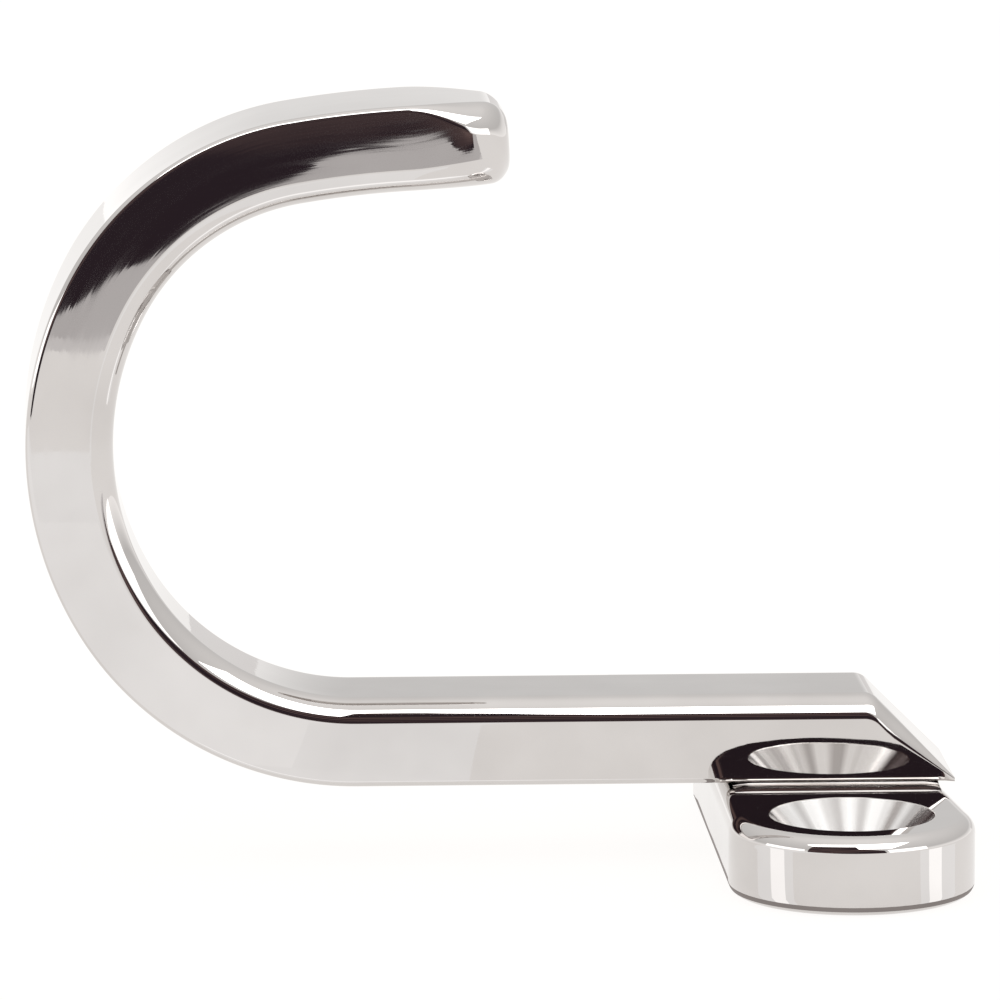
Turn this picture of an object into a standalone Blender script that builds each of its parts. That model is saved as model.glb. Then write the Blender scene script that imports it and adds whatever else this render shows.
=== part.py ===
"""Open fairlead chock in polished stainless steel.

A rectangular bar is bent into an open hook that leads a line, and its straight
lower leg is welded across the middle of an oval foot that narrows to the rear. Two countersunk
screws, one on each side of the bar, hold the foot to the deck.

Metres, +Z up. The origin is the middle of the foot's underside, +X runs along
the bar away from the bend, and the bar is square to the foot, which lies
along Y.
"""

from math import acos, asin, atan2, cos, pi, radians, sin, sqrt, tan

import bmesh
import bpy
from mathutils import Vector

MM = 0.001

# The bar and the hook that it is bent into.
BAR_THICKNESS = 8.8 * MM
BAR_WIDTH = 15.2 * MM
INNER_EDGE_RADIUS = 2.5 * MM  # edges that a line bears on, inside the hook
OUTER_EDGE_RADIUS = 0.6 * MM
LEG_TO_BEND = 48.7 * MM  # foot's middle to where the bend starts, along -X
# Each bend of the centre line, in order from the leg to the tip: radius, angle.
BENDS = (
    (28.0 * MM, radians(60.0)),
    (32.5 * MM, radians(57.2)),
    (26.1 * MM, radians(53.2)),
    (100.0 * MM, radians(6.4)),
)
# The tip falls a little above, and is rounded above, below, in plan and at its edges.
TIP_LENGTH = 10.6 * MM
TIP_FALL = 0.8 * MM
TIP_TOP_RADIUS = 2.5 * MM
TIP_UNDER_RADIUS = 2.0 * MM
TIP_PLAN_RUN = 6.5 * MM
TIP_PLAN_DEPTH = 4.6 * MM
TIP_EDGE_RADIUS = 3.0 * MM
# The leg's end is cut back at a slope from its toe on the foot, a little askew.
TOE_X = 11.6 * MM
TOE_SLOPE = radians(45.5)
TOE_TOP_RADIUS = 2.0 * MM
TOE_END = 0.4 * MM  # the height of the toe's blunt end
TOE_SKEW = radians(1.0)

# The foot. It narrows a little from its front end to its rear one.
FOOT_HEIGHT = 7.9 * MM
FOOT_FRONT_RADIUS = 12.3 * MM
FOOT_REAR_RADIUS = 10.2 * MM
HOLE_SPACING = 43.6 * MM
REAR_HOLE_OFFSET = -2.6 * MM  # along X, from the front hole
HOLE_DIAMETER = 8.4 * MM
COUNTERSINK_DIAMETER = 16.5 * MM
COUNTERSINK_SLOPE = radians(45.0)
FOOT_TOP_RADIUS = 1.6 * MM
FOOT_UNDER_RADIUS = 1.4 * MM

# The weld on each side of the bar.
WELD_REACH = 3.0 * MM  # along the foot
WELD_RISE = 0.85 * MM  # up the bar
GAP = 0.3 * MM

ARC_STEP = radians(5.0)
TIP_STEPS = 12
TOE_STEPS = 4
EDGE_STEPS = 4
leg_bottom = FOOT_HEIGHT + GAP


def clear_scene():
    for obj in list(bpy.data.objects):
        bpy.data.objects.remove(obj, do_unlink=True)
    for collection in list(bpy.data.collections):
        bpy.data.collections.remove(collection)


def new_collection(name):
    collection = bpy.data.collections.new(name)
    bpy.context.scene.collection.children.link(collection)
    return collection


def steel(name, colour, roughness):
    material = bpy.data.materials.new(name)
    material.use_nodes = True
    shader = material.node_tree.nodes["Principled BSDF"]
    shader.inputs["Base Color"].default_value = (*colour, 1.0)
    shader.inputs["Roughness"].default_value = roughness
    shader.inputs["Metallic"].default_value = 1.0
    return material


def add_object(name, bm, collection, material):
    bmesh.ops.recalc_face_normals(bm, faces=bm.faces)
    mesh = bpy.data.meshes.new(name)
    bm.to_mesh(mesh)
    bm.free()
    mesh.shade_smooth()
    mesh.set_sharp_from_angle(angle=radians(35.0))
    obj = bpy.data.objects.new(name, mesh)
    if material is not None:
        mesh.materials.append(material)
    collection.objects.link(obj)
    return obj


def arc(centre, radius, start, turn):
    """Points of an arc in the plane, from the angle start through the angle turn."""
    steps = max(2, round(abs(turn) / ARC_STEP))
    return [
        (
            centre[0] + radius * cos(start + turn * i / steps),
            centre[1] + radius * sin(start + turn * i / steps),
        )
        for i in range(steps + 1)
    ]


def without_repeats(points):
    kept = []
    for point in points:
        if not kept or (Vector(point) - Vector(kept[-1])).length > 0.02 * MM:
            kept.append(point)
    if (Vector(kept[0]) - Vector(kept[-1])).length <= 0.02 * MM:
        kept.pop()
    return kept


def prism(outline, to_space, along):
    """A solid with the outline as its section, swept by the vector along."""
    bm = bmesh.new()
    face = bm.faces.new([bm.verts.new(to_space(*p)) for p in outline])
    swept = bmesh.ops.extrude_face_region(bm, geom=[face])["geom"]
    moved = [v for v in swept if isinstance(v, bmesh.types.BMVert)]
    bmesh.ops.translate(bm, verts=moved, vec=along)
    return bm


def weight_edges(bm, weight_of):
    """Sets the bevel weight of each edge that weight_of gives one for."""
    layer = bm.edges.layers.float.new("bevel_weight_edge")
    for edge in bm.edges:
        edge[layer] = weight_of(edge)


def bevel_weighted(obj, width, segments):
    bevel = obj.modifiers.new("Rounded edges", "BEVEL")
    bevel.limit_method = "WEIGHT"
    bevel.offset_type = "OFFSET"
    bevel.width = width
    bevel.segments = segments
    bevel.use_clamp_overlap = False


def arm_sections():
    """The bar's side view as triples: outer point, inner point and half width.

    They run from the toe along the leg, round the bends and out to the tip.
    """
    half = BAR_THICKNESS / 2
    wide = BAR_WIDTH / 2
    sections = []

    # The toe: a blunt end, a slope, and a round corner into the leg's top.
    rise = BAR_THICKNESS - TOE_END - TOE_TOP_RADIUS * (1 - cos(TOE_SLOPE))
    corner_x = TOE_X - rise / tan(TOE_SLOPE)
    centre_x = corner_x - TOE_TOP_RADIUS * sin(TOE_SLOPE)
    heights = [(TOE_X + (corner_x - TOE_X) * i / 3, TOE_END + rise * i / 3) for i in range(3)]
    for i in range(TOE_STEPS + 1):
        angle = TOE_SLOPE * (1 - i / TOE_STEPS)
        drop = TOE_TOP_RADIUS * (1 - cos(angle))
        heights.append((centre_x + TOE_TOP_RADIUS * sin(angle), BAR_THICKNESS - drop))
    for x, high in heights:
        sections.append((Vector((x, leg_bottom)), Vector((x, leg_bottom + high)), wide))

    # Each bend turns clockwise, from the leg (running to -X) up and over to the tip.
    at = Vector((-LEG_TO_BEND, leg_bottom + half))
    heading = pi
    for number, (radius, turn) in enumerate(BENDS):
        centre = at + radius * Vector((sin(heading), -cos(heading)))
        start = heading + pi / 2
        steps = max(2, round(turn / ARC_STEP))
        for i in range(0 if number == 0 else 1, steps + 1):
            angle = start - turn * i / steps
            ray = Vector((cos(angle), sin(angle)))
            sections.append((centre + (radius + half) * ray, centre + (radius - half) * ray, wide))
        heading -= turn
        at = centre + radius * Vector((-sin(heading), cos(heading)))

    # The tip: falling and rounded above, rounded below, and rounded in plan.
    along = Vector((cos(heading), sin(heading)))
    up = Vector((-along.y, along.x))
    for i in range(1, TIP_STEPS + 1):
        s = TIP_LENGTH * sin(pi / 2 * i / TIP_STEPS)
        past = max(0.0, s - (TIP_LENGTH - TIP_TOP_RADIUS))
        high = half - TIP_FALL * (s / TIP_LENGTH) ** 2
        high += sqrt(max(0.0, TIP_TOP_RADIUS**2 - past**2)) - TIP_TOP_RADIUS
        past = max(0.0, s - (TIP_LENGTH - TIP_UNDER_RADIUS))
        low = -half + TIP_UNDER_RADIUS - sqrt(max(0.0, TIP_UNDER_RADIUS**2 - past**2))
        past = max(0.0, 1 + (s - TIP_LENGTH) / TIP_PLAN_RUN)
        narrow = wide - TIP_PLAN_DEPTH * (1 - sqrt(max(0.0, 1 - past**2.5)))
        sections.append((at + s * along + high * up, at + s * along + low * up, narrow))
    return sections


def edge_radii(number, count, section):
    """The rounding of the outer and inner long edges at a section.

    It swells towards the tip, and gives way where the bar runs out at its ends.
    """
    outer, inner, wide = section
    height = (outer - inner).length
    past = max(0.0, (number - (count - TIP_STEPS)) / TIP_STEPS)
    swell = min(1.0, past / 0.5)
    swell *= swell * (3 - 2 * swell)
    radii = []
    for radius in (OUTER_EDGE_RADIUS, INNER_EDGE_RADIUS):
        radius += (TIP_EDGE_RADIUS - radius) * swell
        if past == 0:
            radius = min(radius, 0.36 * height)
        radii.append(min(radius, 0.47 * height, 0.95 * wide))
    return radii


def round_the_bar(section, radii):
    """Points round a section, from the outer side over the front (-Y) one."""
    outer, inner, wide = section
    height = (outer - inner).length
    up = (outer - inner) / height
    out_r, in_r = radii
    corners = (
        (height - out_r, out_r - wide, out_r),
        (in_r, in_r - wide, in_r),
        (in_r, wide - in_r, in_r),
        (height - out_r, wide - out_r, out_r),
    )
    points = []
    for number, (u, y, radius) in enumerate(corners):
        for k in range(EDGE_STEPS + 1):
            angle = -pi / 2 * (number + k / EDGE_STEPS)
            at = inner + (u + radius * cos(angle)) * up
            points.append(Vector((at.x, y + radius * sin(angle), at.y)))
    return points


def add_hook_arm(collection, material):
    """The bar, as one skin through its sections."""
    sections = arm_sections()
    bm = bmesh.new()
    rows = []
    for number, section in enumerate(sections):
        points = round_the_bar(section, edge_radii(number, len(sections), section))
        for point in points:
            if point.x > 0:
                askew = tan(TOE_SKEW) * min(1.0, point.x / (3 * MM))
                point.x -= (point.y + section[2]) * askew
        rows.append([bm.verts.new(point) for point in points])
    for a, b in zip(rows, rows[1:]):
        for j in range(len(a)):
            k = (j + 1) % len(a)
            bm.faces.new((a[j], b[j], b[k], a[k]))
    bm.faces.new(rows[0])
    bm.faces.new(rows[-1])
    return add_object("hook_arm", bm, collection, material)


def countersunk_hole(name, centre, collection):
    """A turned cutter, a little longer than the foot is high at both ends."""
    hole, sink = HOLE_DIAMETER / 2, COUNTERSINK_DIAMETER / 2
    depth = (sink - hole) / tan(COUNTERSINK_SLOPE)
    over = 1.0 * MM
    profile = (
        (0, FOOT_HEIGHT + over),
        (sink + over, FOOT_HEIGHT + over),
        (hole, FOOT_HEIGHT - depth),
        (hole, -over),
        (0, -over),
    )
    mesh = bpy.data.meshes.new(name)
    mesh.from_pydata([(x, 0, z) for x, z in profile], [(i, i + 1) for i in range(4)], [])
    cutter = bpy.data.objects.new(name, mesh)
    cutter.location = (*centre, 0)
    cutter.hide_render = True
    cutter.display_type = "WIRE"
    collection.objects.link(cutter)
    screw = cutter.modifiers.new("Turned", "SCREW")
    screw.steps = screw.render_steps = 48
    screw.use_merge_vertices = True
    screw.merge_threshold = 0.00001
    return cutter


def add_mounting_foot(collection, cutters, material):
    front = Vector((0, -HOLE_SPACING / 2))
    rear = Vector((REAR_HOLE_OFFSET, HOLE_SPACING / 2))
    # The two walls are the outer tangents of the circles round the two holes.
    run = rear - front
    lean = atan2(-run.x, run.y)
    taper = asin((FOOT_FRONT_RADIUS - FOOT_REAR_RADIUS) / run.length)
    outline = arc(rear, FOOT_REAR_RADIUS, lean + taper, pi - 2 * taper)
    outline += arc(front, FOOT_FRONT_RADIUS, lean + pi - taper, pi + 2 * taper)
    bm = prism(outline, lambda x, y: (x, y, 0), Vector((0, 0, FOOT_HEIGHT)))

    def on_a_rim(edge):
        low, high = sorted(v.co.z for v in edge.verts)
        if low > FOOT_HEIGHT / 2:
            return 1.0
        return FOOT_UNDER_RADIUS / FOOT_TOP_RADIUS if high < FOOT_HEIGHT / 2 else 0.0

    weight_edges(bm, on_a_rim)
    obj = add_object("mounting_foot", bm, collection, material)
    bevel_weighted(obj, FOOT_TOP_RADIUS, 3)
    for side, centre in (("front", front), ("rear", rear)):
        cut = obj.modifiers.new("Screw hole, " + side, "BOOLEAN")
        cut.operation = "DIFFERENCE"
        cut.object = countersunk_hole("screw_hole_" + side, centre, cutters)
    return obj


def weld_section():
    """The weld's section in the YZ plane, on the bar's -Y side.

    Its outer face is a low ramp, dressed flush, and its inner face keeps a gap
    to the bar's rounded lower edge and stops where that edge nears the foot.
    """
    flank = -BAR_WIDTH / 2
    foot = FOOT_HEIGHT + GAP
    edge_centre = (flank + OUTER_EDGE_RADIUS, leg_bottom + OUTER_EDGE_RADIUS)
    reach = OUTER_EDGE_RADIUS + GAP
    low = acos((edge_centre[1] - foot - GAP) / reach)
    inner = arc(edge_centre, reach, pi, pi / 2 - low)
    outer = [
        (flank - GAP - WELD_REACH, foot),
        (flank - GAP - WELD_REACH, foot + 0.2 * MM),
        (flank - GAP, foot + WELD_RISE),
    ]
    return without_repeats(outer + inner + [(inner[-1][0], foot)])


def add_weld_beads(collection, material):
    start = -FOOT_FRONT_RADIUS + FOOT_TOP_RADIUS + 0.6 * MM
    ends = {"weld_bead_front": TOE_X - FOOT_TOP_RADIUS, "weld_bead_rear": 6.6 * MM}
    for name, side in (("weld_bead_front", 1), ("weld_bead_rear", -1)):
        bm = prism(
            weld_section(),
            lambda y, z, side=side: (start, side * y, z),
            Vector((ends[name] - start, 0, 0)),
        )
        add_object(name, bm, collection, material)


def main():
    clear_scene()
    chock = new_collection("fairlead_chock")
    cutters = new_collection("cutters")
    polished = steel("mirror_polished_stainless", (0.80, 0.78, 0.76), 0.05)
    welded = steel("polished_weld", (0.74, 0.72, 0.70), 0.12)
    add_hook_arm(chock, polished)
    add_mounting_foot(chock, cutters, polished)
    add_weld_beads(chock, welded)


main()
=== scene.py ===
"""Open fairlead chock in mirror-polished stainless steel, on a plain pale floor.

Finely modelled pieces stand for the CAD nodes. Metres, +Z up, in the CAD's frame.
"""

from math import asin, atan2, cos, pi, radians, sin, sqrt, tan

import bmesh
import bpy
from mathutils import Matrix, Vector, noise


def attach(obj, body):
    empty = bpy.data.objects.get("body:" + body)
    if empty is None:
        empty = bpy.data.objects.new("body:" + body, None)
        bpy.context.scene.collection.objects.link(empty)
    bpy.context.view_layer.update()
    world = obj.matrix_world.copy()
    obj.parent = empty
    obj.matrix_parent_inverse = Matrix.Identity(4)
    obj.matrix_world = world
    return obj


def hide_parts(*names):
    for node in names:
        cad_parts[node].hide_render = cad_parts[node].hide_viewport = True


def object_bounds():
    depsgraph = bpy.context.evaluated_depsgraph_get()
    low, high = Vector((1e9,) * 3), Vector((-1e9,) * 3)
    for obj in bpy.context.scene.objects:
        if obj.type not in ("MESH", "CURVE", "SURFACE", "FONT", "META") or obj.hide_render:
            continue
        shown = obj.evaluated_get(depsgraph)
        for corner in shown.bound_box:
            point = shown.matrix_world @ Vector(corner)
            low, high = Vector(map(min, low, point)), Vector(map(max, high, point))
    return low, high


MM = 0.001

# The driving dimensions, as in the CAD.
BAR_THICKNESS = 8.8 * MM
BAR_WIDTH = 15.2 * MM
INNER_EDGE_RADIUS = 2.5 * MM  # edges that a line bears on, inside the hook
OUTER_EDGE_RADIUS = 0.6 * MM
LEG_TO_BEND = 48.7 * MM
# Each bend's radius at the bar's middle, and its turn.
BENDS = (
    (28.0 * MM, radians(60.0)),
    (32.5 * MM, radians(57.2)),
    (26.1 * MM, radians(53.2)),
    (100.0 * MM, radians(6.4)),
)
TIP_LENGTH = 10.6 * MM
TIP_FALL = 0.8 * MM  # how far the tip's upper side falls before its rounded corner
TIP_TOP_RADIUS = 2.5 * MM
TIP_UNDER_RADIUS = 2.0 * MM
TIP_PLAN_RUN = 6.5 * MM  # seen from above, the tip narrows over this length
TIP_PLAN_DEPTH = 4.6 * MM  # and by this much on each side
TIP_PLAN_POWER = 2.5  # the higher, the squarer the tip from above
TIP_EDGE_RADIUS = 3.0 * MM
# The most that an edge's radius takes of a section's height or half width.
TOE_EDGE_SHARE = 0.36
TIP_EDGE_SHARE = 0.47
TIP_WIDTH_SHARE = 0.95
TOE_X = 11.6 * MM
TOE_SLOPE = radians(45.5)
TOE_TOP_RADIUS = 2.0 * MM
TOE_END = 0.4 * MM  # the height of the toe's blunt end
TOE_SKEW = radians(1.0)
TOE_SKEW_RUN = 3.0 * MM  # the skew grows from nothing over this length
FOOT_HEIGHT = 7.9 * MM
FOOT_FRONT_RADIUS = 12.3 * MM
FOOT_REAR_RADIUS = 10.2 * MM
HOLE_SPACING = 43.6 * MM
REAR_HOLE_OFFSET = -2.6 * MM
HOLE_DIAMETER = 8.4 * MM
COUNTERSINK_DIAMETER = 16.5 * MM
COUNTERSINK_SLOPE = radians(45.0)
FOOT_TOP_RADIUS = 1.6 * MM
FOOT_UNDER_RADIUS = 1.4 * MM
FOOT_TOP_SEGMENTS = 10
RIM_EASE = 0.25 * MM  # the small radius on a countersink's rim
HOLE_EASE = 0.25 * MM  # the chamfer where a hole leaves the underside
HOLE_STEPS = 128
WELD_LEG = 0.12 * MM
WELD_LIP = 0.08 * MM
WELD_TUCK = 0.05 * MM
WELD_APRON = 3.0 * MM  # how far the weld spreads over the foot
WELD_UNDER_BAR = 2.2 * MM  # how far it reaches in under the bar
WELD_FRONT_SETBACK = 1.6 * MM
WELD_BACK_SETBACK = 1.5 * MM
WELD_FADE = 1.5 * MM  # the weld thins over this length at each end
GAP = 0.3 * MM  # between the bar's underside and the foot

ARC_STEP = radians(1.5)
TIP_STEPS = 44
SLOPE_SPANS = 10
TOE_STEPS = 7
LEG_SPANS = 24
EDGE_STEPS = 14
WELD_SPANS = 90
WELD_STEPS = 6
CREASE_ANGLE = radians(35.0)
FINE_CREASE_ANGLE = radians(30.0)

LEG_BOTTOM = FOOT_HEIGHT + GAP
FRONT_HOLE = Vector((0, -HOLE_SPACING / 2))
REAR_HOLE = Vector((REAR_HOLE_OFFSET, HOLE_SPACING / 2))

# The camera, and where it aims as parts of the CAD's box.
AIM = (0.504, 0.389, 0.486)
CAMERA_YAW = radians(2.84)
CAMERA_PITCH = radians(10.0)
CAMERA_AWAY = 1.05
CAMERA_LENS = 378.0

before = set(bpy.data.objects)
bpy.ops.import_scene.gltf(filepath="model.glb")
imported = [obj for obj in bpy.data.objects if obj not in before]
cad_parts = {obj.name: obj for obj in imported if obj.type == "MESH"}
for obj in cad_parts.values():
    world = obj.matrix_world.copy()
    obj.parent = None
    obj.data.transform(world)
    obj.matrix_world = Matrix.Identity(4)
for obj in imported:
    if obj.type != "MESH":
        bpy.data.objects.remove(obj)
cad_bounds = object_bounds()


# ---------------------------------------------------------------- meshes


def arc(centre, radius, start, turn, step=ARC_STEP):
    """Points of an arc in the plane, from the angle start through the angle turn."""
    steps = max(2, round(abs(turn) / step))
    angles = [start + turn * i / steps for i in range(steps + 1)]
    return [Vector((centre[0] + radius * cos(a), centre[1] + radius * sin(a))) for a in angles]


def add_piece(name, bm, node, material):
    """A new piece that replaces a CAD node and rides with it."""
    bmesh.ops.recalc_face_normals(bm, faces=bm.faces)
    mesh = bpy.data.meshes.new(name)
    bm.to_mesh(mesh)
    bm.free()
    mesh.shade_smooth()
    mesh.set_sharp_from_angle(angle=CREASE_ANGLE)
    mesh.materials.append(material)
    piece = bpy.data.objects.new(name, mesh)
    bpy.context.scene.collection.objects.link(piece)
    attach(piece, "root")
    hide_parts(node)
    return piece


def bevel_by_weight(piece, width, segments):
    bevel = piece.modifiers.new("Rounded edges", "BEVEL")
    bevel.limit_method = "WEIGHT"
    bevel.offset_type = "OFFSET"
    bevel.width = width
    bevel.segments = segments
    bevel.use_clamp_overlap = False


def apply_modifiers(piece):
    graph = bpy.context.evaluated_depsgraph_get()
    finished = bpy.data.meshes.new_from_object(piece.evaluated_get(graph))
    piece.modifiers.clear()
    piece.data = finished


def finish_shading(piece):
    """Smooth shading that keeps the creases, and leaves the large faces flat."""
    piece.data.shade_smooth()
    piece.data.set_sharp_from_angle(angle=FINE_CREASE_ANGLE)
    shading = piece.modifiers.new("Even shading", "WEIGHTED_NORMAL")
    shading.mode = "FACE_AREA"
    shading.weight = 90
    shading.keep_sharp = True


# -------------------------------------------------------------- hook arm


def toe_and_leg_sections():
    """The toe's blunt end and slope, a round corner, and the leg's straight run."""
    rise = BAR_THICKNESS - TOE_END - TOE_TOP_RADIUS * (1 - cos(TOE_SLOPE))
    corner_x = TOE_X - rise / tan(TOE_SLOPE)
    centre_x = corner_x - TOE_TOP_RADIUS * sin(TOE_SLOPE)
    heights = []
    for i in range(SLOPE_SPANS):
        part = i / SLOPE_SPANS
        heights.append((TOE_X + (corner_x - TOE_X) * part, TOE_END + rise * part))
    for i in range(TOE_STEPS):
        angle = TOE_SLOPE * (1 - i / TOE_STEPS)
        drop = TOE_TOP_RADIUS * (1 - cos(angle))
        heights.append((centre_x + TOE_TOP_RADIUS * sin(angle), BAR_THICKNESS - drop))
    for i in range(LEG_SPANS):
        heights.append((centre_x + (-LEG_TO_BEND - centre_x) * i / LEG_SPANS, BAR_THICKNESS))
    return [
        (Vector((x, LEG_BOTTOM)), Vector((x, LEG_BOTTOM + high)), BAR_WIDTH / 2)
        for x, high in heights
    ]


def tip_sections(at, heading):
    """The tip: falling and rounded above, rounded below, and rounded in plan."""
    half = BAR_THICKNESS / 2
    along = Vector((cos(heading), sin(heading)))
    up = Vector((-along.y, along.x))
    sections = []
    for i in range(1, TIP_STEPS + 1):
        s = TIP_LENGTH * sin(pi / 2 * i / TIP_STEPS)
        past = max(0.0, s - (TIP_LENGTH - TIP_TOP_RADIUS))
        high = half - TIP_FALL * (s / TIP_LENGTH) ** 2
        high += sqrt(max(0.0, TIP_TOP_RADIUS**2 - past**2)) - TIP_TOP_RADIUS
        past = max(0.0, s - (TIP_LENGTH - TIP_UNDER_RADIUS))
        low = -half + TIP_UNDER_RADIUS - sqrt(max(0.0, TIP_UNDER_RADIUS**2 - past**2))
        past = max(0.0, 1 + (s - TIP_LENGTH) / TIP_PLAN_RUN)
        narrower = TIP_PLAN_DEPTH * (1 - sqrt(max(0.0, 1 - past**TIP_PLAN_POWER)))
        middle = at + s * along
        sections.append((middle + high * up, middle + low * up, BAR_WIDTH / 2 - narrower))
    return sections


def arm_sections():
    """The bar's side view as triples: outer point, inner point and half width.

    They run from the toe along the leg, round the bends and out to the tip.
    """
    half = BAR_THICKNESS / 2
    sections = toe_and_leg_sections()
    at = Vector((-LEG_TO_BEND, LEG_BOTTOM + half))
    heading = pi
    # Each bend turns clockwise, from the leg (running to -X) up and over to the tip.
    for number, (radius, turn) in enumerate(BENDS):
        centre = at + radius * Vector((sin(heading), -cos(heading)))
        start = heading + pi / 2
        steps = max(6, round(turn / ARC_STEP))
        for i in range(0 if number == 0 else 1, steps + 1):
            angle = start - turn * i / steps
            ray = Vector((cos(angle), sin(angle)))
            outer, inner = centre + (radius + half) * ray, centre + (radius - half) * ray
            sections.append((outer, inner, BAR_WIDTH / 2))
        heading -= turn
        at = centre + radius * Vector((-sin(heading), cos(heading)))
    return sections + tip_sections(at, heading)


def edge_radii(number, count, section):
    """The rounding of the outer and inner long edges at a section.

    It swells over the tip's first half, and gives way where the bar runs out at its ends.
    """
    outer, inner, wide = section
    height = (outer - inner).length
    past = max(0.0, (number - (count - TIP_STEPS)) / TIP_STEPS)
    swell = min(1.0, past / 0.5)
    swell *= swell * (3 - 2 * swell)
    radii = []
    for radius in (OUTER_EDGE_RADIUS, INNER_EDGE_RADIUS):
        radius += (TIP_EDGE_RADIUS - radius) * swell
        if past == 0:
            radius = min(radius, TOE_EDGE_SHARE * height)
        radii.append(min(radius, TIP_EDGE_SHARE * height, TIP_WIDTH_SHARE * wide))
    return radii


def round_the_bar(section, radii):
    """Points round a section, from the outer side over the front (-Y) one."""
    outer, inner, wide = section
    height = (outer - inner).length
    up = (outer - inner) / height
    out_r, in_r = radii
    corners = (
        (height - out_r, out_r - wide, out_r),
        (in_r, in_r - wide, in_r),
        (in_r, wide - in_r, in_r),
        (height - out_r, wide - out_r, out_r),
    )
    points = []
    for number, (u, y, radius) in enumerate(corners):
        for k in range(EDGE_STEPS + 1):
            angle = -pi / 2 * (number + k / EDGE_STEPS)
            at = inner + (u + radius * cos(angle)) * up
            points.append(Vector((at.x, y + radius * sin(angle), at.y)))
    return points


def lengths_round(points):
    """How far along a closed outline each point lies, with the whole length last."""
    lengths = [0.0]
    for a, b in zip(points, points[1:] + points[:1]):
        lengths.append(lengths[-1] + (b - a).length)
    return lengths


def skewed(point, wide):
    """The point, moved where the toe is cut a little askew."""
    if point.x > 0:
        point.x -= (point.y + wide) * tan(TOE_SKEW) * min(1.0, point.x / TOE_SKEW_RUN)
    return point


def build_hook_arm(material):
    """A skin through the sections, with UVs that unroll the bar for its polishing lines."""
    sections = arm_sections()
    bm = bmesh.new()
    uv = bm.loops.layers.uv.new("UVMap")
    rows, along, round_bar = [], [], []
    for number, section in enumerate(sections):
        points = round_the_bar(section, edge_radii(number, len(sections), section))
        points = [skewed(point, section[2]) for point in points]
        rows.append([bm.verts.new(point) for point in points])
        round_bar.append(lengths_round(points))
        before = sections[max(0, number - 1)]
        step = ((section[0] + section[1]) - (before[0] + before[1])).length / 2
        along.append(along[-1] + step if along else 0.0)
    for i in range(len(rows) - 1):
        here, there = round_bar[i], round_bar[i + 1]
        for j in range(len(rows[i])):
            k = (j + 1) % len(rows[i])
            face = bm.faces.new((rows[i][j], rows[i + 1][j], rows[i + 1][k], rows[i][k]))
            across = (here[j], there[j], there[j + 1], here[j + 1])
            for loop, u, v in zip(face.loops, (along[i], along[i + 1], along[i + 1], along[i]), across):
                loop[uv].uv = (u, v)
    bm.faces.new(rows[0])
    bm.faces.new(rows[-1])
    piece = add_piece("hook_arm_polished", bm, "hook_arm", material)
    finish_shading(piece)


# ------------------------------------------------------------------ foot


def turned_cutter(name, centre, profile):
    """A hidden solid, turned round the hole's axis, that cuts one hole."""
    edges = [(i, i + 1) for i in range(len(profile) - 1)]
    mesh = bpy.data.meshes.new(name)
    mesh.from_pydata([(x, 0, z) for x, z in profile], edges, [])
    cutter = bpy.data.objects.new(name, mesh)
    bpy.context.scene.collection.objects.link(cutter)
    cutter.location = (*centre, 0)
    screw = cutter.modifiers.new("Turned", "SCREW")
    screw.steps = screw.render_steps = HOLE_STEPS
    screw.use_merge_vertices = True
    screw.merge_threshold = 0.00001
    return cutter


def countersink_profile():
    """From the axis above the foot, down the eased rim, the cone and the bore, to the axis below."""
    hole, sink = HOLE_DIAMETER / 2, COUNTERSINK_DIAMETER / 2
    depth = (sink - hole) / tan(COUNTERSINK_SLOPE)
    over = 1.0 * MM
    rim = sink + RIM_EASE * tan(COUNTERSINK_SLOPE / 2)
    profile = [(0, FOOT_HEIGHT + over), (rim, FOOT_HEIGHT + over)]
    # The rim: an arc from level to the cone's slope.
    rounding = arc((rim, FOOT_HEIGHT - RIM_EASE), RIM_EASE, pi / 2, COUNTERSINK_SLOPE, radians(9))
    profile += [tuple(point) for point in rounding]
    # A small step where the cone meets the bore, and the bore's chamfer below.
    profile.append((hole + 0.1 * MM, FOOT_HEIGHT - depth + 0.1 * MM))
    profile.append((hole, FOOT_HEIGHT - depth - 0.05 * MM))
    mouth = hole + HOLE_EASE
    return profile + [(hole, HOLE_EASE), (mouth, 0), (mouth, -over), (0, -over)]


def foot_outline():
    """Round the two ends, which the straight sides touch."""
    run = REAR_HOLE - FRONT_HOLE
    lean = atan2(-run.x, run.y)
    taper = asin((FOOT_FRONT_RADIUS - FOOT_REAR_RADIUS) / run.length)
    outline = arc(REAR_HOLE, FOOT_REAR_RADIUS, lean + taper, pi - 2 * taper)
    return outline + arc(FRONT_HOLE, FOOT_FRONT_RADIUS, lean + pi - taper, pi + 2 * taper)


def cut_holes(piece):
    """Cuts both holes and keeps the cut mesh, so that no cutter is left in the scene."""
    cutters = []
    for side, centre in (("front", FRONT_HOLE), ("rear", REAR_HOLE)):
        cutter = turned_cutter("cutter_" + side, centre, countersink_profile())
        cut = piece.modifiers.new("Screw hole, " + side, "BOOLEAN")
        cut.operation = "DIFFERENCE"
        cut.object = cutter
        cutters.append(cutter)
    apply_modifiers(piece)
    for cutter in cutters:
        bpy.data.objects.remove(cutter)


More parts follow.
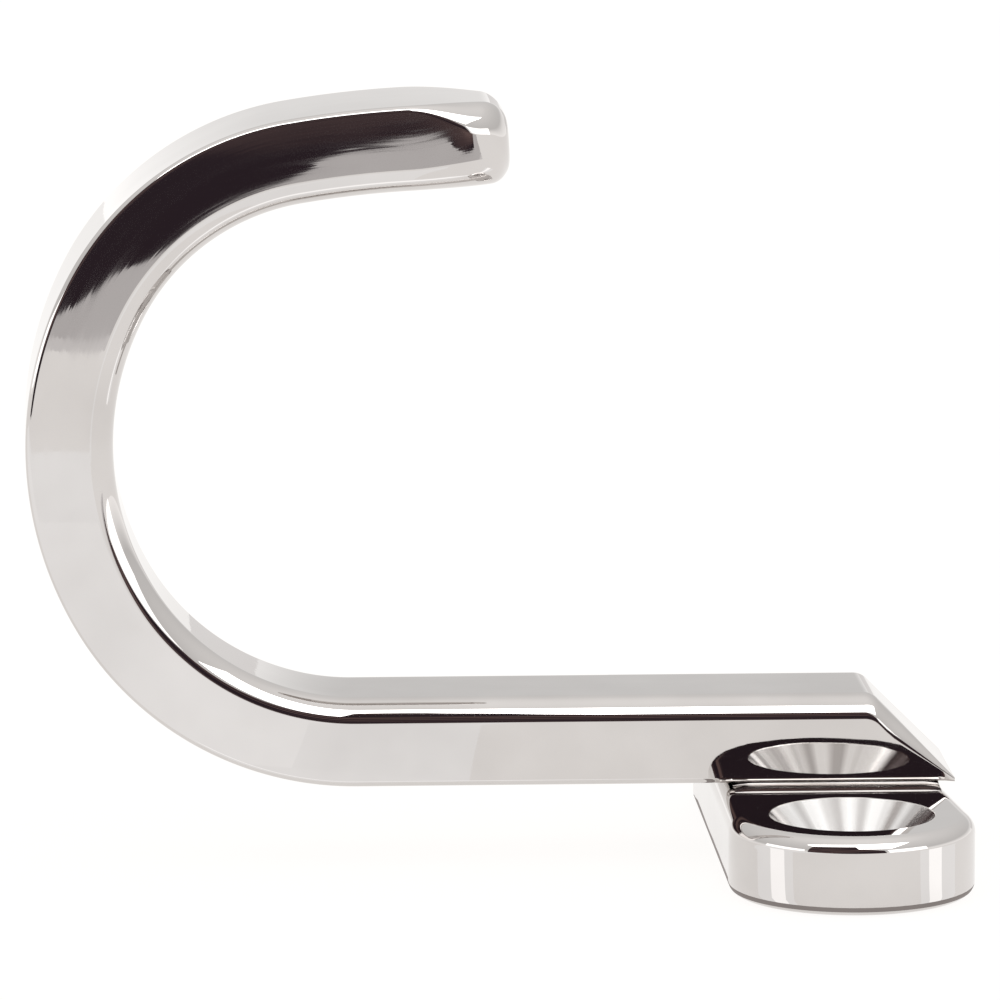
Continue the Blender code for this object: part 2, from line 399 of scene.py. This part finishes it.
def build_foot(material, machined):
    bm = bmesh.new()
    outline = foot_outline()
    low = [bm.verts.new((p.x, p.y, 0)) for p in outline]
    high = [bm.verts.new((p.x, p.y, FOOT_HEIGHT)) for p in outline]
    bm.faces.new(low)
    bm.faces.new(high)
    n = len(outline)
    for i in range(n):
        j = (i + 1) % n
        bm.faces.new((low[i], low[j], high[j], high[i]))
    weight = bm.edges.layers.float.new("bevel_weight_edge")
    for edge in bm.edges:
        z0, z1 = sorted(v.co.z for v in edge.verts)
        if z0 > FOOT_HEIGHT / 2:
            edge[weight] = 1.0
        elif z1 < FOOT_HEIGHT / 2:
            edge[weight] = FOOT_UNDER_RADIUS / FOOT_TOP_RADIUS
    piece = add_piece("mounting_foot_polished", bm, "mounting_foot", material)
    bevel_by_weight(piece, FOOT_TOP_RADIUS, FOOT_TOP_SEGMENTS)
    cut_holes(piece)
    for steel in machined:
        piece.data.materials.append(steel)
    # The steep faces near a hole's axis are its cone and bore.
    cone_edge = COUNTERSINK_DIAMETER / 2 + 0.02 * MM
    for face in piece.data.polygons:
        for number, centre in enumerate((FRONT_HOLE, REAR_HOLE)):
            if (face.center.xy - centre).length < cone_edge and abs(face.normal.z) < 0.8:
                face.material_index = 1 + number
    finish_shading(piece)


# ----------------------------------------------------------------- welds


def weld_section(leg, lip):
    """Steps out and up from the crease: a small hollow, a low ramp, its lip, and back inside."""
    quarter = [pi / 2 * k / WELD_STEPS for k in range(WELD_STEPS + 1)]
    points = [(leg * (1 - cos(a)), leg * (1 - sin(a)) + lip * 3) for a in quarter]
    points[0] = (points[0][0], points[0][1] + WELD_TUCK)
    points += [(WELD_APRON - lip + lip * sin(a), lip * cos(a)) for a in quarter]
    points += [(WELD_APRON, -0.1 * MM), (-WELD_UNDER_BAR, -0.1 * MM)]
    return points + [(-WELD_UNDER_BAR, 0.5 * MM), (-0.15 * MM, leg + WELD_TUCK)]


def build_weld(name, node, side, material):
    """A dressed weld between the bar's flank and the foot's top."""
    start = -FOOT_FRONT_RADIUS + WELD_BACK_SETBACK
    end = TOE_X - WELD_FRONT_SETBACK
    bm = bmesh.new()
    rows = []
    for i in range(WELD_SPANS + 1):
        x = start + (end - start) * i / WELD_SPANS
        # The weld wanders a little, and thins at both ends.
        near_end = min(x - start, end - x) / WELD_FADE
        fade = sqrt(min(1.0, max(0.0, near_end)) * 0.9 + 0.1)
        wander = noise.noise(Vector((x * 420, side * 3.1, 0.7)))
        section = weld_section(WELD_LEG * fade * (1 + 0.05 * wander), WELD_LIP * fade)
        rows.append(
            [bm.verts.new((x, side * (BAR_WIDTH / 2 + y), FOOT_HEIGHT + z)) for y, z in section]
        )
    for a, b in zip(rows, rows[1:]):
        for k in range(len(a)):
            m = (k + 1) % len(a)
            bm.faces.new((a[k], a[m], b[m], b[k]))
    bm.faces.new(rows[0])
    bm.faces.new(rows[-1])
    add_piece(name, bm, node, material)


# ------------------------------------------------------------- materials

LIGHT_STEEL = (0.66, 0.635, 0.62)
DULL_STEEL = (0.61, 0.585, 0.57)
WELD_STEEL = (0.50, 0.47, 0.45)
TURNED_LIGHT = (0.95, 0.94, 0.93)
TURNED_DARK = (0.56, 0.54, 0.53)


class Nodes:
    """Short names for building a material's node tree."""

    def __init__(self, name):
        self.material = bpy.data.materials.new(name)
        self.material.use_nodes = True
        self.tree = self.material.node_tree
        self.tree.nodes.clear()
        self.output = self.add("ShaderNodeOutputMaterial")

    def add(self, kind, **settings):
        node = self.tree.nodes.new(kind)
        for key, value in settings.items():
            setattr(node, key, value)
        return node

    def link(self, source, target):
        self.tree.links.new(source, target)

    def noise(self, vector, scale, detail=3.0):
        node = self.add("ShaderNodeTexNoise")
        node.inputs["Scale"].default_value = scale
        node.inputs["Detail"].default_value = detail
        self.link(vector, node.inputs["Vector"])
        return node.outputs["Fac"]

    def mapped(self, vector, scale):
        node = self.add("ShaderNodeMapping")
        node.inputs["Scale"].default_value = scale
        self.link(vector, node.inputs["Vector"])
        return node.outputs["Vector"]

    def ramp(self, value, low, high, to_low, to_high):
        node = self.add("ShaderNodeMapRange", clamp=True)
        numbers = {"From Min": low, "From Max": high, "To Min": to_low, "To Max": to_high}
        for key, number in numbers.items():
            node.inputs[key].default_value = number
        self.link(value, node.inputs["Value"])
        return node.outputs["Result"]

    def mix_colour(self, value, first, second):
        node = self.add("ShaderNodeMix", data_type="RGBA")
        node.inputs["A"].default_value = (*first, 1)
        node.inputs["B"].default_value = (*second, 1)
        self.link(value, node.inputs["Factor"])
        return node.outputs["Result"]

    def bump(self, height, distance, normal=None):
        node = self.add("ShaderNodeBump")
        node.inputs["Distance"].default_value = distance
        self.link(height, node.inputs["Height"])
        if normal is not None:
            self.link(normal, node.inputs["Normal"])
        return node.outputs["Normal"]

    def steel(self):
        """A bare metal shader, joined to the output."""
        shader = self.add("ShaderNodeBsdfPrincipled")
        shader.inputs["Metallic"].default_value = 1.0
        self.link(shader.outputs["BSDF"], self.output.inputs["Surface"])
        return shader


def polished_steel(name, light, dark, rough_low, rough_high, streaks):
    """Polished steel: polishing lines along the bar or across a piece, faint clouds and waves.

    Noise scales are per metre, so 100 makes spots of about 10 mm.
    """
    n = Nodes(name)
    shader = n.steel()
    place = n.add("ShaderNodeTexCoord")
    if streaks == "along":
        grain_space = n.mapped(place.outputs["UV"], (90.0, 3800.0, 1.0))
        long_space = n.mapped(place.outputs["UV"], (40.0, 700.0, 1.0))
    else:
        grain_space = n.mapped(place.outputs["Object"], (2600.0, 160.0, 2600.0))
        long_space = n.mapped(place.outputs["Object"], (500.0, 60.0, 500.0))
    grain = n.noise(grain_space, 1.0, 2.0)
    long_streaks = n.noise(long_space, 1.0)
    cloud = n.noise(place.outputs["Object"], 90.0)
    colour = n.mix_colour(n.ramp(cloud, 0.35, 0.65, 0.0, 1.0), dark, light)
    n.link(colour, shader.inputs["Base Color"])
    n.link(n.ramp(long_streaks, 0.35, 0.7, rough_low, rough_high), shader.inputs["Roughness"])
    # The relief, from the widest and deepest to the finest; distances are in metres.
    normal = n.bump(n.noise(place.outputs["Object"], 70.0, 1.0), 0.00004)
    normal = n.bump(long_streaks, 0.0000012, normal)
    normal = n.bump(grain, 0.00000008, normal)
    n.link(normal, shader.inputs["Normal"])
    return n.material


def machined_steel(name, centre):
    """A turned countersink: fine rings round the hole, and streaks that run down the cone."""
    n = Nodes(name)
    shader = n.steel()
    place = n.add("ShaderNodeTexCoord").outputs["Object"]
    from_axis = n.add("ShaderNodeVectorMath", operation="SUBTRACT")
    n.link(place, from_axis.inputs[0])
    from_axis.inputs[1].default_value = (*centre, 0)
    flat = n.add("ShaderNodeVectorMath", operation="MULTIPLY")
    n.link(from_axis.outputs[0], flat.inputs[0])
    flat.inputs[1].default_value = (1, 1, 0)
    ray = n.add("ShaderNodeVectorMath", operation="NORMALIZE")
    n.link(flat.outputs[0], ray.inputs[0])
    streaks = n.noise(ray.outputs[0], 3.2, 1.5)
    colour = n.mix_colour(n.ramp(streaks, 0.38, 0.56, 0.0, 1.0), TURNED_DARK, TURNED_LIGHT)
    n.link(colour, shader.inputs["Base Color"])
    n.link(n.ramp(streaks, 0.35, 0.65, 0.16, 0.26), shader.inputs["Roughness"])
    rings = n.noise(n.mapped(place, (0.0, 0.0, 9000.0)), 1.0, 1.0)
    normal = n.bump(rings, 0.0000008)
    n.link(n.bump(streaks, 0.00006, normal), shader.inputs["Normal"])
    return n.material


def glow(name, colour, other=None):
    """Light for a card; with a second colour, soft level bands of the two."""
    n = Nodes(name)
    lamp = n.add("ShaderNodeEmission")
    lamp.inputs["Strength"].default_value = 1.0
    lamp.inputs["Color"].default_value = (*colour, 1)
    if other:
        place = n.add("ShaderNodeTexCoord").outputs["Object"]
        bands = n.ramp(n.noise(n.mapped(place, (0.9, 3.0, 9.0)), 1.0, 2.0), 0.46, 0.60, 0.0, 1.0)
        n.link(n.mix_colour(bands, colour, other), lamp.inputs["Color"])
    n.link(lamp.outputs["Emission"], n.output.inputs["Surface"])
    return n.material


def even_glow(name, brightness):
    return glow(name, (brightness, brightness, brightness))


# ----------------------------------------------------------------- stage


def staged_card(name, corners, material, hidden=True):
    """A flat card with these corners, in millimetres. A hidden one shows in the steel only."""
    mesh = bpy.data.meshes.new(name)
    mesh.from_pydata([Vector(c) * MM for c in corners], [], [tuple(range(len(corners)))])
    mesh.materials.append(material)
    obj = bpy.data.objects.new(name, mesh)
    bpy.context.scene.collection.objects.link(obj)
    if hidden:
        obj.visible_camera = False
        obj.visible_diffuse = False
        obj.visible_shadow = False


def build_floor():
    n = Nodes("pale_floor")
    matt = n.add("ShaderNodeBsdfDiffuse")
    matt.inputs["Color"].default_value = (0.12, 0.12, 0.12, 1)
    lamp = n.add("ShaderNodeEmission")
    lamp.inputs["Color"].default_value = (1.0, 0.985, 0.97, 1)
    lamp.inputs["Strength"].default_value = 0.93
    both = n.add("ShaderNodeAddShader")
    n.link(matt.outputs["BSDF"], both.inputs[0])
    n.link(lamp.outputs["Emission"], both.inputs[1])
    n.link(both.outputs["Shader"], n.output.inputs["Surface"])
    reach = 6000
    corners = ((-reach, -reach, 0), (reach, -reach, 0), (reach, reach, 0), (-reach, reach, 0))
    staged_card("floor", corners, n.material, hidden=False)


def level(outline, z):
    """The outline's points at one height."""
    return [(x, y, z) for x, y in outline]


def build_table_end(dark):
    """The dark end of the table, ahead of the object, and its grey border in two steps."""
    near_edge = ((-420, -330), (-200, -345), (-76, -359), (-31, -508), (-17, -522), (300, -535))
    staged_card("dark_table_end", level(near_edge + ((900, -2000), (-1800, -2000)), 1), dark)
    near_edge = ((-420, -327), (-80, -343), (-64, -345), (-33, -430), (-19, -450), (420, -460))
    far_side = ((420, -900), (160, -900), (-420, -400))
    grey = glow("grey_card", (0.62, 0.60, 0.60))
    staged_card("grey_table_border", level(near_edge + far_side, 0.6), grey)
    # The paler step reaches nearer to the object, more so on the right.
    near_edge = tuple((x, y + (8 if x < -50 else 45)) for x, y in near_edge)
    pale_grey = glow("pale_grey_card", (0.80, 0.78, 0.78))
    staged_card("pale_table_border", level(near_edge + far_side, 0.3), pale_grey)


def build_room(dark):
    """The dark room behind the camera, higher on the left."""
    room = ((-1400, 0), (740, 0), (680, 480), (200, 800), (90, 820), (25, 1500), (-1400, 1500))
    staged_card("dark_room", [(x, -1400, z) for x, z in room], dark)


def build_softboxes():
    """One on each side, the right one nearer to the front, and one above and before the object."""
    side = even_glow("side_softbox", 2.0)
    left = ((-1000, -900, 60), (-1310, 0, 60), (-1310, 0, 330), (-1000, -900, 330))
    staged_card("softbox_left", left, side)
    right = ((760, -1290, 20), (1310, -500, 20), (1310, -500, 420), (720, -1310, 520))
    staged_card("softbox_right", right, side)
    # The one above has a notch at its lower left.
    above = (
        (-700, -480, 849),
        (0, -440, 864),
        (700, -230, 942),
        (700, -1050, 640),
        (45, -1050, 640),
        (0, -700, 769),
        (-700, -700, 769),
    )
    staged_card("softbox_above", above, even_glow("softbox", 4.0))


def build_wall():
    """A greyer wall low behind the object, to its right."""
    left, right, back, top = 60, 900, 1400, 170
    corners = ((left, back, 0), (right, back, 0), (right, back, top), (left, back, top))
    staged_card("wall_behind", corners, glow("grey_wall", (0.82, 0.80, 0.79)))


def build_lit_floor():
    """Lighter floor before the bend, in two steps."""
    left, back = -500, -20
    for name, brightness, right, front, z in (
        ("lit_floor_near", 1.16, -58, -205, 0.10),
        ("lit_floor_far", 1.11, -38, -255, 0.05),
    ):
        corners = ((left, back), (right, back), (right + 20, front), (left, front))
        staged_card(name, level(corners, z), even_glow(name, brightness))


def build_painted_contact_shadow():
    """A painted contact shadow: a darker line on the floor where the foot meets it, all round, seen
    only in the steel.
    """
    margin = 0.45
    rim = []
    for hole, radius, start in (
        (FRONT_HOLE, FOOT_FRONT_RADIUS, pi),
        (REAR_HOLE, FOOT_REAR_RADIUS, 0),
    ):
        rim += arc(hole / MM, radius / MM + margin, start, pi, pi / 24)
    # The dark grey ring is painted shadow, laid just round the foot's outline.
    staged_card("painted_contact_shadow", level(rim, 0.5), glow("painted_contact_shadow", (0.36, 0.33, 0.32)))


def build_floor_glints():
    """Brightly lit floor in bands beside the foot's front end, each in a paler, wider one."""
    glint, pale = even_glow("bright_floor", 1.5), even_glow("pale_floor_band", 1.12)
    length = 60
    reach = FOOT_FRONT_RADIUS / MM + 0.2
    # The angles are degrees round the front end, from straight ahead.
    for name, material, start, end, z in (
        ("left", glint, -43.5, -35.5, 0.4),
        ("right", glint, 36.0, 44.0, 0.4),
        ("left_edge", pale, -52.0, -31.0, 0.2),
        ("right_edge", pale, 31.0, 54.0, 0.2),
    ):
        corners = []
        for angle, out in ((start, 0), (start, length), (end, length), (end, 0)):
            a = radians(angle)
            # A band runs out at twice the angle, the way that the wall there reflects.
            away = reach * Vector((sin(a), -cos(a))) + out * Vector((sin(2 * a), -cos(2 * a)))
            corners.append(FRONT_HOLE / MM + away)
        staged_card("floor_glint_" + name, level(corners, z), material)


def build_cards():
    """What the polished steel mirrors, besides the floor and the pale surroundings."""
    dark = glow("dark_card", (0.030, 0.020, 0.026), (0.15, 0.10, 0.095))
    build_table_end(dark)
    build_room(dark)
    build_softboxes()
    build_wall()
    build_lit_floor()
    build_painted_contact_shadow()
    build_floor_glints()


def build_camera():
    low, high = cad_bounds
    aim = Vector([a + part * (b - a) for a, b, part in zip(low, high, AIM)])
    ahead = cos(CAMERA_PITCH)
    forward = Vector((sin(CAMERA_YAW) * ahead, cos(CAMERA_YAW) * ahead, -sin(CAMERA_PITCH)))
    data = bpy.data.cameras.new("camera")
    data.sensor_width = 36.0
    data.lens = CAMERA_LENS
    data.clip_end = 20.0
    camera = bpy.data.objects.new("camera", data)
    camera.location = aim - CAMERA_AWAY * forward
    camera.rotation_euler = forward.to_track_quat("-Z", "Y").to_euler()
    bpy.context.scene.collection.objects.link(camera)
    bpy.context.scene.camera = camera


def build_world():
    """Pale surroundings: white to the camera, and in the steel greyer above the horizon."""
    world = bpy.data.worlds.new("pale_surroundings")
    bpy.context.scene.world = world
    world.use_nodes = True
    tree = world.node_tree
    back = tree.nodes["Background"]
    back.inputs["Strength"].default_value = 1.3
    way = tree.nodes.new("ShaderNodeTexCoord")
    parts = tree.nodes.new("ShaderNodeSeparateXYZ")
    ramp = tree.nodes.new("ShaderNodeValToRGB")
    tree.links.new(way.outputs["Generated"], parts.inputs["Vector"])
    tree.links.new(parts.outputs["Z"], ramp.inputs["Fac"])
    tree.links.new(ramp.outputs["Color"], back.inputs["Color"])
    # Degrees above the horizon, and the grey there.
    stops = ((0, 0.95), (5, 0.80), (11, 0.56), (22, 0.60), (50, 0.70), (90, 0.84))
    elements = ramp.color_ramp.elements
    while len(elements) < len(stops):
        elements.new(0.5)
    for element, (elevation, grey) in zip(elements, stops):
        element.position = sin(radians(elevation))
        element.color = (grey, grey * 0.99, grey * 0.98, 1)
    plain = tree.nodes.new("ShaderNodeBackground")
    path = tree.nodes.new("ShaderNodeLightPath")
    either = tree.nodes.new("ShaderNodeMixShader")
    plain.inputs["Color"].default_value = (1, 1, 1, 1)
    tree.links.new(path.outputs["Is Camera Ray"], either.inputs["Fac"])
    tree.links.new(back.outputs["Background"], either.inputs[1])
    tree.links.new(plain.outputs["Background"], either.inputs[2])
    tree.links.new(either.outputs["Shader"], tree.nodes["World Output"].inputs["Surface"])
    bpy.context.scene.view_settings.view_transform = "Standard"


build_camera()
build_world()
build_floor()
build_cards()
steel_along = polished_steel("polished_steel_bar", LIGHT_STEEL, DULL_STEEL, 0.01, 0.04, "along")
steel_foot = polished_steel("polished_steel_foot", LIGHT_STEEL, DULL_STEEL, 0.01, 0.04, "across")
steel_weld = polished_steel("dressed_weld_steel", DULL_STEEL, WELD_STEEL, 0.06, 0.14, "across")
machined = (
    machined_steel("turned_steel_front", FRONT_HOLE),
    machined_steel("turned_steel_rear", REAR_HOLE),
)
build_hook_arm(steel_along)
build_foot(steel_foot, machined)
build_weld("weld_fillet_front", "weld_bead_front", -1, steel_weld)
build_weld("weld_fillet_rear", "weld_bead_rear", 1, steel_weld)
